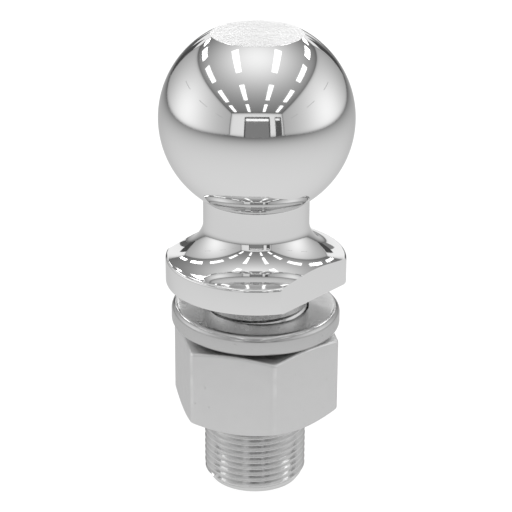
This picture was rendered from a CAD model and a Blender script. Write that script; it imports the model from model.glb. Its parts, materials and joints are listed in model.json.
import bmesh
import bpy
import json
import math
from mathutils import Matrix, Vector


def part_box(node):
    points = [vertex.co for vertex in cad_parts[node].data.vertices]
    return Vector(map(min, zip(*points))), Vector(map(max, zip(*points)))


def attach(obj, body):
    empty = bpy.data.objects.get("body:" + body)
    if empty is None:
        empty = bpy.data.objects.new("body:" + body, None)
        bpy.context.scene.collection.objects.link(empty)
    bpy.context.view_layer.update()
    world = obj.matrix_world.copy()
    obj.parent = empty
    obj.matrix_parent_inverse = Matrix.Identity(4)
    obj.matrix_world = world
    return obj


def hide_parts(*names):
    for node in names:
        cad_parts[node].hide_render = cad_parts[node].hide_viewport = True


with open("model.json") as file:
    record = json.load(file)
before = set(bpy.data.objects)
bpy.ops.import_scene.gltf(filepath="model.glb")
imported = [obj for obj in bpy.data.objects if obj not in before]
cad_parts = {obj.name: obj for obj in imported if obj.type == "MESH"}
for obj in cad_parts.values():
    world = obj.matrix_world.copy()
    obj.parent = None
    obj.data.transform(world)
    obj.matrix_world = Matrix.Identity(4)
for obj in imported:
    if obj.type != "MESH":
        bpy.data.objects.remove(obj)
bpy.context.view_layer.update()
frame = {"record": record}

mounts = {mount["name"]: mount for mount in frame["record"]["mounts"]}

# ---- The camera ----
# It stands a little over half a metre from the ball, to the right of the flange's +X flat,
# and looks down on the ball through a long lens, rolled a hair out of level.
mm = 0.001
ball_middle = Vector(mounts["ball"]["pos_m"])
camera_side = math.radians(-49.66)
camera_reach = 547.4 * mm
camera_rise = 187 * mm
camera_dip = math.radians(22.93)
camera_tilt = math.radians(0.34)

toward_camera = Vector((math.cos(camera_side), math.sin(camera_side), 0))
to_the_right = Vector((-math.sin(camera_side), math.cos(camera_side), 0))
looking = -toward_camera * math.cos(camera_dip) - Vector((0, 0, math.sin(camera_dip)))
picture_up = to_the_right.cross(looking)
picture_axes = (
    to_the_right * math.cos(camera_tilt) + picture_up * math.sin(camera_tilt),
    picture_up * math.cos(camera_tilt) - to_the_right * math.sin(camera_tilt),
    -looking,
)
camera = bpy.data.objects.new("camera", bpy.data.cameras.new("camera"))
camera.data.sensor_width = 36
camera.data.lens = 136.6
camera_spot = ball_middle + toward_camera * camera_reach + Vector((0, 0, camera_rise))
camera.matrix_world = Matrix.Translation(camera_spot) @ Matrix(picture_axes).transposed().to_4x4()
bpy.context.collection.objects.link(camera)
bpy.context.scene.camera = camera

# ---- The ball stud ----
# One steel forging: the ball on its flared neck, the flange with two milled wrench flats,
# and the threaded shank. It is turned, threaded, polished and then plated with chrome.
ball_radius = mounts["ball"]["dims"]["r_mm"] * mm
ball_z = ball_middle.z
flat_radius = 13.75 * mm
neck_radius = 16.15 * mm
neck_fillet = 6.7 * mm
fillet_sweep = 20.6
flare_radius = 12.96 * mm
flange_radius = 27.7 * mm
flange_height = 8.55 * mm
rim_round = 1.0 * mm
foot_round = 0.7 * mm
flat_reach = 22.95 * mm
seat_z = mounts["flange_seat"]["pos_m"][2]
shank_radius = 15.875 * mm
tip_radius = 14 * mm
tip_height = 2.75 * mm
thread_top = 60 * mm
pitch = frame["record"]["behaviour"]["couplings"][0]["ratio"] * math.tau
thread_depth = 0.6134 * pitch
edge_round = 0.35 * mm
neck_round = 0.6 * mm
flat_z = ball_z + math.sqrt(ball_radius**2 - flat_radius**2)
stud_columns = 192
# The thread's shape, in pitches: from the root's middle to the root's edge and the crest's edge.
root_edge = 0.0833
crest_edge = 0.4375


def arc_points(across, up, radius, first, last, steps):
    """Points on an arc about (across, up), from one angle to another, in degrees."""
    angles = [math.radians(first + (last - first) * i / steps) for i in range(steps + 1)]
    return [(across + radius * math.cos(a), up + radius * math.sin(a)) for a in angles]


def even_angles(count):
    return [math.tau * i / count for i in range(count)]


def ring_mesh(mesh, rings, angles):
    """Turn a profile round Z. A ring of no radius becomes one point at the axis."""
    rows = []
    for radius, height in rings:
        if radius < 1e-9:
            rows.append([mesh.verts.new((0, 0, height))] * len(angles))
        else:
            spots = [(radius * math.cos(a), radius * math.sin(a), height) for a in angles]
            rows.append([mesh.verts.new(spot) for spot in spots])
    faces = []
    for upper, lower in zip(rows, rows[1:]):
        for i in range(len(angles)):
            k = (i + 1) % len(angles)
            corners = list(dict.fromkeys((upper[i], lower[i], lower[k], upper[k])))
            faces.append(mesh.faces.new(corners))
    return rows, faces


def soft_step(value, width=0.16):
    """A ramp from 0 to 1 with its two corners rounded."""
    value = min(max(value, -width), 1 + width)
    if value < width:
        return (value + width) ** 2 / (4 * width)
    if value > 1 - width:
        return 1 - (1 + width - value) ** 2 / (4 * width)
    return value


def thread_mesh(mesh, angles, low, high, lift, radius_at):
    """A thread's surface, in rows that climb with it. Its ends are cut level at low and high."""
    # Where the rows lie in one pitch: close together at the two edges and wide on the flanks.
    phases = (0, 0.07, 0.11, 0.41, 0.455, 0.5, 0.545, 0.59, 0.89, 0.93)
    first = math.floor(low / pitch) - 3
    turns = math.ceil((high - low) / pitch) + 6
    rows = [first + turn + phase for turn in range(turns) for phase in phases]
    columns = []
    for angle in angles:
        column = []
        for row in rows:
            height = min(max(pitch * (row + angle / math.tau) + lift, low), high)
            radius = radius_at(height, row)
            spot = (radius * math.cos(angle), radius * math.sin(angle), height)
            column.append(mesh.verts.new(spot))
        columns.append(column)
    last = len(rows) - 1
    for i, column in enumerate(columns):
        wrap = len(phases) if i == len(columns) - 1 else 0
        following = columns[(i + 1) % len(columns)]
        for j in range(last):
            a, b = following[min(j + wrap, last)], following[min(j + 1 + wrap, last)]
            if len({column[j], a, b, column[j + 1]}) == 4:
                mesh.faces.new((column[j], a, b, column[j + 1]))
    bmesh.ops.remove_doubles(mesh, verts=mesh.verts, dist=1e-8)
    bmesh.ops.dissolve_degenerate(mesh, edges=mesh.edges, dist=1e-8)


def groove_share(row):
    """How deep the thread is cut at this height: 0 on its crest and 1 in its root."""
    from_root = abs((row + 0.5) % 1 - 0.5)
    return soft_step((crest_edge - from_root) / (crest_edge - root_edge))


def stud_thread_radius(height, row):
    fade = min(max((thread_top - height) / pitch, 0), 1)
    radius = shank_radius - thread_depth * groove_share(row) * fade
    tip = tip_radius + (shank_radius - tip_radius) * height / tip_height
    return min(radius, tip)


def stud_head_profile():
    """The outline from the middle of the top flat down to the plain shank above the thread."""
    edge_z = flat_z - edge_round
    edge_x = math.sqrt((ball_radius - edge_round) ** 2 - (edge_z - ball_z) ** 2)
    edge_angle = math.degrees(math.atan2(edge_z - ball_z, edge_x))
    inner_x = neck_radius + neck_round
    inner_z = ball_z - math.sqrt((ball_radius + neck_round) ** 2 - inner_x**2)
    inner_angle = math.degrees(math.atan2(ball_z - inner_z, -inner_x))
    turn = math.radians(fillet_sweep)
    flare_x = neck_radius + neck_fillet + (flare_radius - neck_fillet) * math.cos(turn)
    flare_turn = math.acos((flare_x - flange_radius + rim_round) / (flare_radius + rim_round))
    flare_z = seat_z + flange_height + flare_radius * math.sin(flare_turn)
    fillet_z = flare_z - (flare_radius - neck_fillet) * math.sin(turn)
    rim_z = flare_z - (flare_radius + rim_round) * math.sin(flare_turn)
    flare_sweep = math.degrees(flare_turn)
    fillet_x = neck_radius + neck_fillet
    seat_x = shank_radius + edge_round
    top = [(0, flat_z), (edge_x * 0.5, flat_z), (edge_x * 0.9, flat_z)]
    top += arc_points(edge_x, edge_z, edge_round, 90, edge_angle, 5)
    ball = arc_points(0, ball_z, ball_radius, edge_angle, inner_angle - 180, 130)[1:]
    neck = arc_points(inner_x, inner_z, neck_round, inner_angle, 180, 6)[1:]
    fillet = arc_points(fillet_x, fillet_z, neck_fillet, 180, 180 + fillet_sweep, 14)
    flare = arc_points(
        flare_x, flare_z, flare_radius, 180 + fillet_sweep, 180 + flare_sweep, 44
    )[1:]
    rim = arc_points(flange_radius - rim_round, rim_z, rim_round, flare_sweep, 0, 8)[1:]
    foot = arc_points(flange_radius - foot_round, seat_z + foot_round, foot_round, 0, -90, 6)
    under = arc_points(seat_x, seat_z - edge_round, edge_round, 90, 180, 4)
    shank = [(shank_radius, thread_top)]
    return top, ball + neck + fillet, flare + rim + foot, under + shank


def mill_wrench_flats(mesh, faces):
    """Cut the flange off along its two flats and close each cut with one level face."""
    for side in (1, -1):
        faces = [face for face in faces if face.is_valid]
        around = {vert for face in faces for vert in face.verts}
        edges = {edge for face in faces for edge in face.edges}
        cut = bmesh.ops.bisect_plane(
            mesh, geom=[*around, *edges, *faces], dist=1e-7, clear_outer=True,
            plane_co=(side * flat_reach, 0, 0), plane_no=(side, 0, 0),
        )
        faces = [g for g in cut["geom"] if isinstance(g, bmesh.types.BMFace) and g.is_valid]
        rim = []
        for edge in mesh.edges:
            on_flat = all(abs(vert.co.x - side * flat_reach) < 1e-6 for vert in edge.verts)
            if edge.is_boundary and on_flat:
                rim.append(edge)
        bmesh.ops.holes_fill(mesh, edges=rim, sides=0)


def finished_object(name, mesh, sharp_angle):
    """Make the mesh into one object, smooth but for its real edges."""
    bmesh.ops.recalc_face_normals(mesh, faces=mesh.faces)
    for face in mesh.faces:
        face.smooth = True
    data = bpy.data.meshes.new(name)
    mesh.to_mesh(data)
    mesh.free()
    data.set_sharp_from_angle(angle=math.radians(sharp_angle))
    piece = bpy.data.objects.new(name, data)
    bpy.context.collection.objects.link(piece)
    return piece


def make_stud():
    mesh = bmesh.new()
    angles = even_angles(stud_columns)
    top, ball, flange, shank = stud_head_profile()
    rows, faces = ring_mesh(mesh, top + ball + flange + shank, angles)
    start = len(top) + len(ball)
    in_flange = faces[start * stud_columns:(start + len(flange)) * stud_columns]
    mill_wrench_flats(mesh, in_flange)
    ring_mesh(mesh, [(tip_radius, 0), (tip_radius * 0.5, 0), (0, 0)], angles)
    thread_mesh(mesh, angles, 0, thread_top, 0, stud_thread_radius)
    return finished_object("stud", mesh, sharp_angle=28)


def new_material(name):
    material = bpy.data.materials.new(name)
    material.use_nodes = True
    material.node_tree.nodes.clear()
    return material


def add_node(material, kind, inputs, **settings):
    """Add a node, set its settings, and fill each input with a value or another node's output."""
    made = material.node_tree.nodes.new(kind)
    for name, value in settings.items():
        setattr(made, name, value)
    for name, value in inputs.items():
        if isinstance(value, bpy.types.NodeSocket):
            material.node_tree.links.new(value, made.inputs[name])
        else:
            made.inputs[name].default_value = value
    return made


def object_place(material):
    return add_node(material, "ShaderNodeTexCoord", {}).outputs["Object"]


def noise(material, place, grain, detail=2, low=0.0, high=1.0):
    """Noise whose grain is given as a length, spread from low to high."""
    inputs = {"Vector": place, "Scale": 1 / grain, "Detail": detail}
    raw = add_node(material, "ShaderNodeTexNoise", inputs).outputs["Fac"]
    spread = {"Value": raw, "From Min": 0.3, "From Max": 0.7, "To Min": low, "To Max": high}
    return add_node(material, "ShaderNodeMapRange", spread).outputs["Result"]


def dents(material, height, depth, after=None):
    """A bump of the given depth, which can follow another bump."""
    inputs = {"Height": height, "Distance": depth, "Strength": 1}
    if after:
        inputs["Normal"] = after
    return add_node(material, "ShaderNodeBump", inputs).outputs["Normal"]


def grey(level):
    return (level, level, level, 1)


def plated_metal(material, colour, roughness, normal, edge_grey=0.8):
    """A metal shader: how bright it is face on, and how much of that it gains edge on."""
    inputs = {
        "Base Color": colour, "Metallic": 1, "Roughness": roughness,
        "Specular Tint": grey(edge_grey), "Normal": normal,
    }
    shader = add_node(material, "ShaderNodeBsdfPrincipled", inputs).outputs["BSDF"]
    add_node(material, "ShaderNodeOutputMaterial", {"Surface": shader})
    return material


def polished_chrome():
    """Mirror chrome, with a little haze left by the buffing wheel."""
    material = new_material("polished_chrome")
    place = object_place(material)
    haze = noise(material, place, grain=9 * mm, detail=3, low=0.025, high=0.06)
    waves = dents(material, noise(material, place, grain=14 * mm, detail=1), depth=0.004 * mm)
    return plated_metal(material, grey(0.85), haze, waves)


def turned_chrome():
    """The top flat was faced on a lathe, so fine rings stay under the plating."""
    material = new_material("turned_chrome")
    place = object_place(material)
    inputs = {"Vector": place, "Scale": 260, "Distortion": 0.6, "Detail": 3}
    settings = {"wave_type": "RINGS", "rings_direction": "Z"}
    rings = add_node(material, "ShaderNodeTexWave", inputs, **settings).outputs["Fac"]
    cut = dents(material, rings, depth=0.025 * mm)
    speckle = noise(material, place, grain=1.6 * mm, detail=3)
    face = dents(material, speckle, depth=0.06 * mm, after=cut)
    return plated_metal(material, grey(1), 0.3, face, edge_grey=1)


def plated_thread():
    """Chrome over a cut thread that nobody polished, so it is satin and a little torn."""
    material = new_material("plated_thread")
    place = object_place(material)
    satin = noise(material, place, grain=2.5 * mm, detail=3, low=0.13, high=0.22)
    tears = dents(material, noise(material, place, grain=1.3 * mm, detail=1), depth=0.015 * mm)
    return plated_metal(material, grey(0.74), satin, tears)


def seat_plating():
    """Under the flange the forging was faced but never buffed, so its plating is satin."""
    material = new_material("seat_plating")
    place = object_place(material)
    satin = noise(material, place, grain=4 * mm, detail=3, low=0.22, high=0.36)
    faced = dents(material, noise(material, place, grain=1.4 * mm), depth=0.02 * mm)
    return plated_metal(material, grey(0.8), satin, faced)


stud = make_stud()
for finish in (polished_chrome(), plated_thread(), seat_plating(), turned_chrome()):
    stud.data.materials.append(finish)
for face in stud.data.polygons:
    if face.center.z < thread_top:
        face.material_index = 1
    elif face.center.z < seat_z + 0.01 * mm:
        face.material_index = 2
    elif face.center.z > flat_z - 0.02 * mm:
        face.material_index = 3
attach(stud, "ball_stud")
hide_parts("ball_stud")

# ---- The lock washer ----
# A split spring washer, coiled left-handed from a bar of spring steel with rounded corners.
# Its ends are cut off on a slant and stand a little apart, and it is zinc plated.
washer_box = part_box("lock_washer")
washer_z = (washer_box[0][2] + washer_box[1][2]) / 2
washer_bore = shank_radius + 0.42 * mm
washer_radius = 26 * mm
washer_thickness = 6.9 * mm
washer_rise = 2.4 * mm
washer_rounding = 2.1 * mm
washer_bore_rounding = 0.5 * mm
washer_end_round = 0.3 * mm
split_slant = math.tan(math.radians(25))
split_half_gap = 0.8 * mm
split_side = math.radians(130.34)
washer_columns = 160


def washer_section(shrink):
    """The bar's section as (radius, height) points, with its four corners rounded."""
    half = washer_thickness / 2
    corners = (
        (washer_radius, half, washer_rounding, 90, 0),
        (washer_radius, -half, washer_rounding, 0, -90),
        (washer_bore, -half, washer_bore_rounding, -90, -180),
        (washer_bore, half, washer_bore_rounding, 180, 90),
    )
    outline = []
    for radius, height, rounding, first, last in corners:
        inward = -1 if radius > washer_bore else 1
        across = radius + inward * rounding
        up = height - math.copysign(rounding, height)
        outline += arc_points(across, up, rounding - shrink, first, last, 6)
    return outline


def washer_spot(radius, height, share, trim):
    """A point of the coil, its share of the way round from the raised end to the low one."""
    raised = (split_half_gap + trim - (height + washer_rise / 2) * split_slant) / radius
    low = (split_half_gap + trim + (height - washer_rise / 2) * split_slant) / radius
    start, end = -math.pi + math.asin(raised), math.pi - math.asin(low)
    turn = start + (end - start) * share
    side = split_side - math.pi + turn
    z = washer_z + height - washer_rise * turn / math.tau
    return (radius * math.cos(side), radius * math.sin(side), z)


def make_washer():
    mesh = bmesh.new()
    full, drawn_in = washer_section(0), washer_section(washer_end_round)
    shares = [i / washer_columns for i in range(washer_columns + 1)]
    sections = [(full, share, washer_end_round) for share in shares]
    sections = [(drawn_in, 0, 0), *sections, (drawn_in, 1, 0)]
    rows = []
    for outline, share, trim in sections:
        spots = [washer_spot(radius, height, share, trim) for radius, height in outline]
        rows.append([mesh.verts.new(spot) for spot in spots])
    for one, other in zip(rows, rows[1:]):
        for i in range(len(full)):
            k = (i + 1) % len(full)
            mesh.faces.new((one[i], one[k], other[k], other[i]))
    mesh.faces.new(rows[0])
    mesh.faces.new(rows[-1])
    return finished_object("washer", mesh, sharp_angle=40)


def zinc_plate(name, dull, smoothest, roughest, dent_depth):
    """Bright zinc over steel: satin, with shallow dents from the forge and a few small pits."""
    material = new_material(name)
    place = object_place(material)
    satin = noise(material, place, grain=3 * mm, detail=4, low=smoothest, high=roughest)
    forged = dents(material, noise(material, place, grain=9 * mm, detail=0), dent_depth)
    inputs = {"Vector": place, "Scale": 1 / (1.5 * mm), "Detail": 1}
    spots = add_node(material, "ShaderNodeTexNoise", inputs).outputs["Fac"]
    spread = {"Value": spots, "From Min": 0.74, "From Max": 0.8, "To Min": 1, "To Max": 0}
    flat_but_pits = add_node(material, "ShaderNodeMapRange", spread).outputs["Result"]
    pitted = dents(material, flat_but_pits, depth=0.1 * mm, after=forged)
    return plated_metal(material, grey(dull), satin, pitted)


washer = make_washer()
washer.data.materials.append(
    zinc_plate("washer_zinc", dull=0.6, smoothest=0.16, roughest=0.26, dent_depth=0.05 * mm)
)
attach(washer, "lock_washer")
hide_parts("lock_washer")

# ---- The hex nut ----
# A thick steel nut, hot forged, chamfered at both ends and tapped. Its corners came out of
# the die rounded, its flats are a little uneven, and it is zinc plated.
nut_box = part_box("hex_nut")
nut_foot, nut_top = nut_box[0][2], nut_box[1][2]
sixth = math.pi / 3
nut_flat = 23.25 * mm
nut_corner_turn = math.radians(23.14)
nut_corner_round = 1.7 * mm
nut_face_radius = 21.65 * mm
nut_top_slope = math.tan(math.radians(15))
nut_foot_slope = math.tan(math.radians(27))
nut_edge_round = 1.0 * mm
nut_mouth_radius = 16.655 * mm
nut_groove_radius = 16.055 * mm
nut_bore_radius = 14.909 * mm
nut_columns = 288
# The nut's thread, in pitches: from the groove's middle to its foot and to its mouth.
nut_groove_foot = 0.08
nut_groove_mouth = 0.41
# How far handling has brightened the top edge and, below it, the six corners. The rows are
# those of the points down the nut's side.
edge_wear = 0.8
corner_wear = 0.25
edge_row = 7.5
edge_reach = 1.5
edge_rows = range(7, 11)
last_worn_row = 14


def turn_from_corner(angle):
    """The angle from this direction to the nearest of the six corners."""
    return abs((angle - nut_corner_turn + sixth / 2) % sixth - sixth / 2)


def nut_outline(angle):
    """How far the rounded hexagon reaches from the axis in one direction."""
    from_corner = turn_from_corner(angle)
    from_flat = sixth / 2 - from_corner
    inner = nut_flat - nut_corner_round
    if math.tan(from_flat) * nut_flat < inner * math.tan(sixth / 2):
        return nut_flat / math.cos(from_flat)
    reach = inner / math.cos(sixth / 2)
    aside = reach * math.sin(from_corner)
    return reach * math.cos(from_corner) + math.sqrt(nut_corner_round**2 - aside**2)


def rounded_corner(before, corner, after, radius, steps):
    """An arc that takes the place of a corner between two straight lines."""
    before, corner, after = Vector(before), Vector(corner), Vector(after)
    back, on = (before - corner).normalized(), (after - corner).normalized()
    half = back.angle(on) / 2
    middle = corner + (back + on).normalized() * radius / math.sin(half)
    start, end = corner + back * radius / math.tan(half), corner + on * radius / math.tan(half)
    whole = (start - middle).angle(end - middle)
    points = []
    for i in range(steps + 1):
        part = whole * i / steps
        toward_end = (start - middle) * math.sin(whole - part) + (end - middle) * math.sin(part)
        points.append(tuple(middle + toward_end / math.sin(whole)))
    return points


def nut_side(angle):
    """The nut's outside in one direction, from its top face to its foot, as (radius, height)."""
    reach = nut_outline(angle)
    slope_run = reach - nut_face_radius
    top_face = (nut_mouth_radius, nut_top)
    top_corner = (nut_face_radius, nut_top)
    upper = (reach, nut_top - slope_run * nut_top_slope)
    lower = (reach, nut_foot + slope_run * nut_foot_slope)
    foot_corner = (nut_face_radius, nut_foot)
    foot_face = (nut_mouth_radius, nut_foot)
    return [
        top_face,
        *rounded_corner(top_face, top_corner, upper, nut_edge_round, 3),
        *rounded_corner(top_corner, upper, lower, nut_edge_round, 5),
        *rounded_corner(upper, lower, foot_corner, nut_edge_round, 5),
        *rounded_corner(lower, foot_corner, foot_face, nut_edge_round, 3),
        foot_face,
    ]


def nut_wear(angle, row):
    """How bright a point of the nut's side has been rubbed."""
    near_corner = max(0, 1 - turn_from_corner(angle) * nut_columns / math.tau)
    near_edge = max(0, 1 - abs(row - edge_row) / edge_reach)
    if row in edge_rows:
        return edge_wear * max(near_corner, near_edge)
    return corner_wear * near_corner if row <= last_worn_row else 0


def nut_thread_radius(height, row):
    from_groove = abs((row + 0.5) % 1 - 0.5)
    flank = nut_groove_mouth - nut_groove_foot
    share = soft_step((nut_groove_mouth - from_groove) / flank, width=0.05)
    radius = nut_bore_radius + (nut_groove_radius - nut_bore_radius) * share
    mouth = nut_mouth_radius - min(height - nut_foot, nut_top - height)
    return max(radius, mouth)


def make_nut():
    mesh = bmesh.new()
    rubbed = mesh.verts.layers.float.new("rubbed")
    angles = even_angles(nut_columns)
    columns = []
    for angle in angles:
        column = []
        for row, (radius, z) in enumerate(nut_side(angle)):
            vert = mesh.verts.new((radius * math.cos(angle), radius * math.sin(angle), z))
            vert[rubbed] = nut_wear(angle, row)
            column.append(vert)
        columns.append(column)
    for i, column in enumerate(columns):
        following = columns[(i + 1) % nut_columns]
        for j in range(len(column) - 1):
            mesh.faces.new((column[j], column[j + 1], following[j + 1], following[j]))
    thread_mesh(mesh, angles, nut_foot, nut_top, pitch / 2, nut_thread_radius)
    return finished_object("nut", mesh, sharp_angle=40)


def rub_edges(material, dull):
    """Brighten the zinc, unevenly, where the nut's mesh says that handling has rubbed it."""
    wear = add_node(material, "ShaderNodeAttribute", {}, attribute_name="rubbed").outputs["Fac"]
    bright = noise(material, object_place(material), grain=5 * mm, detail=1, low=dull)
    spread = {"Value": wear, "To Min": dull, "To Max": bright}
    brightness = add_node(material, "ShaderNodeMapRange", spread).outputs["Result"]
    shader = material.node_tree.nodes["Principled BSDF"]
    material.node_tree.links.new(brightness, shader.inputs["Base Color"])


nut = make_nut()
nut_dull = 0.72
nut_zinc = zinc_plate("nut_zinc", nut_dull, smoothest=0.3, roughest=0.4, dent_depth=0.08 * mm)
rub_edges(nut_zinc, nut_dull)
nut.data.materials.append(nut_zinc)
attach(nut, "hex_nut")
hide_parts("hex_nut")

# ---- The floor and the lights ----
# A pale floor under a low white room, with five rows of four soft lights in its ceiling and
# grey doors in its end walls. The room is lightest where it is nearest to the ball, darkens
# into its corners, and shows only in the metal. Its sizes are in ceiling heights.
ceiling_height = 888 * mm
room_side = 1.32
room_front = -2.24
room_back = 2.3
room_floor = -ball_z / ceiling_height
slot_inset = 0.995
slot_height = 0.508
slot_width = 0.012
lamp_length = 0.6
lamp_drop = 0.003
near_lamp_glow = 1.7
far_lamp_glow = 5
floor_reach = 3.4
paint_steps = 48


def room_point(right, away, up):
    """A place in the room, in ceiling heights from the middle of the ball."""
    spot = to_the_right * right - toward_camera * away + Vector((0, 0, up))
    return ball_middle + spot * ceiling_height


def glowing_paint(name):
    material = new_material(name)
    shade = add_node(material, "ShaderNodeAttribute", {}, attribute_name="shade").outputs["Fac"]
    glow = add_node(material, "ShaderNodeEmission", {"Strength": shade}).outputs["Emission"]
    add_node(material, "ShaderNodeOutputMaterial", {"Surface": glow})
    return material


wall_paint = glowing_paint("wall_paint")
wall_paint.cycles.emission_sampling = "NONE"
lamp_glass = glowing_paint("lamp_glass")


def lit_panel(name, low, across, up, paint, steps=1, material=wall_paint):
    """A flat panel from its low corner, along two sides, that glows as its paint says."""
    mesh = bmesh.new()
    shade = mesh.verts.layers.float_color.new("shade")
    low, across, up = Vector(low), Vector(across), Vector(up)
    rows = []
    for j in range(steps + 1):
        row = []
        for i in range(steps + 1):
            place = low + across * i / steps + up * j / steps
            vert = mesh.verts.new(room_point(*place))
            aside, above = min(i, steps - i) / steps, min(j, steps - j) / steps
            to_edge = min(aside * across.length, above * up.length)
            level = paint(place, to_edge)
            vert[shade] = (level, level, level, 1)
            row.append(vert)
        rows.append(row)
    for one, other in zip(rows, rows[1:]):
        for i in range(steps):
            mesh.faces.new((one[i], one[i + 1], other[i + 1], other[i]))
    panel = finished_object(name, mesh, sharp_angle=30)
    panel.data.materials.append(material)
    panel.visible_camera = False
    return panel


def pooled_light(middle, least, pool, width, corner_shade, corner_width):
    """Paint with a pool of light round one place, and a dark line along the panel's edges."""
    def level(place, to_edge):
        away = (place - Vector(middle)).length / width
        line = corner_shade * math.exp(-to_edge / corner_width)
        return (least + pool / (1 + away**2)) * (1 - line)
    return level


def even(level):
    return lambda place, to_edge: level


length, width, height = room_back - room_front, 2 * room_side, 1 - room_floor
ceiling_paint = pooled_light(
    (0, 0, 1), least=0.135, pool=0.913, width=0.7, corner_shade=0.4, corner_width=0.09
)
lit_panel("ceiling", (-room_side, room_front, 1), (width, 0, 0), (0, length, 0),
          ceiling_paint, paint_steps)
for name, right in (("wall_left", -room_side), ("wall_right", room_side)):
    side_paint = pooled_light(
        (right, 0, 0.15), least=0.406, pool=0.662, width=0.8, corner_shade=0.65,
        corner_width=0.035,
    )
    lit_panel(name, (right, room_front, room_floor), (0, length, 0), (0, 0, height),
              side_paint, paint_steps)
    for away, slot_length in ((-1.55, 0.45), (-0.65, 0.36), (0.2, 0.36)):
        lit_panel(f"{name}_slot_{away}", (right * slot_inset, away, slot_height),
                  (0, slot_length, 0), (0, 0, slot_width), even(0.406))
for name, away, least in (("wall_front", room_front, 0.777), ("wall_back", room_back, 1.014)):
    end_paint = pooled_light(
        (0, away, 0.4), least, pool=0.101, width=1, corner_shade=0.6, corner_width=0.045
    )
    lit_panel(name, (-room_side, away, room_floor), (width, 0, 0), (0, 0, height),
              end_paint, paint_steps)
for row, away in enumerate((-1.78, -0.94, 0, 0.95, 1.91)):
    glow = even(far_lamp_glow if away > 0 else near_lamp_glow)
    for column, (right, lamp_width) in enumerate(
        ((-1.03, 0.16), (-0.343, 0.12), (0.326, 0.12), (0.96, 0.16))
    ):
        corner = (right - lamp_width / 2, away - lamp_length / 2, 1 - lamp_drop)
        lit_panel(f"lamp_{row}_{column}", corner, (lamp_width, 0, 0), (0, lamp_length, 0),
                  glow, material=lamp_glass)

# Each panel of an end wall: left edge, right edge, top, bottom, step off the wall, brightness.
front_panels = {
    "door_frame": (-0.571, 0.612, 0.8, room_floor, 0.002, 0.068),
    "door": (-0.51, 0.55, 0.73, room_floor, 0.004, 0.23),
    "door_strip": (-0.51, 0.55, 0.71, 0.6, 0.006, 1.22),
    "side_door": (0.869, 1.216, 0.806, room_floor, 0.002, 0.101),
    "side_door_strip": (0.89, 1.13, 0.73, 0.63, 0.006, 1.08),
}
back_panels = {
    "back_door_left": (-1.3, -0.9, 0.66, room_floor, 0.004, 0.081),
    "back_bench_left": (-0.9, -0.5, 0.25, room_floor, 0.004, 0.135),
    "back_door_right": (0.85, 1.25, 0.66, room_floor, 0.004, 0.081),
    "back_bench_right": (0.6, 0.85, 0.4, room_floor, 0.004, 0.27),
}
for panels, wall, inward in ((front_panels, room_front, 1), (back_panels, room_back, -1)):
    for name, (left, right, top, bottom, step, level) in panels.items():
        lit_panel(name, (left, wall + inward * step, bottom), (right - left, 0, 0),
                  (0, 0, top - bottom), even(level))
ground_paint = pooled_light(
    (0, 0, room_floor), least=0.068, pool=0.71, width=0.85, corner_shade=0.3, corner_width=0.05
)
lit_panel("floor_glow", (-room_side, room_front, room_floor - 0.002), (width, 0, 0),
          (0, length, 0), ground_paint, paint_steps)

floor_paint = new_material("floor_paint")
matt = add_node(floor_paint, "ShaderNodeBsdfDiffuse", {"Color": grey(0.25)})
light = add_node(floor_paint, "ShaderNodeEmission", {"Strength": 0.9})
both = add_node(floor_paint, "ShaderNodeAddShader", {0: matt.outputs[0], 1: light.outputs[0]})
add_node(floor_paint, "ShaderNodeOutputMaterial", {"Surface": both.outputs[0]})
floor = lit_panel("floor", (-floor_reach, -floor_reach, room_floor), (2 * floor_reach, 0, 0),
                  (0, 2 * floor_reach, 0), even(0))
floor.data.materials[0] = floor_paint
floor.visible_camera = True
floor.visible_glossy = False
floor.visible_diffuse = False
floor.visible_shadow = False

world = bpy.data.worlds.new("white")
world.use_nodes = True
world.node_tree.nodes["Background"].inputs["Color"].default_value = grey(1)
bpy.context.scene.world = world
bpy.context.scene.view_settings.view_transform = "Standard"
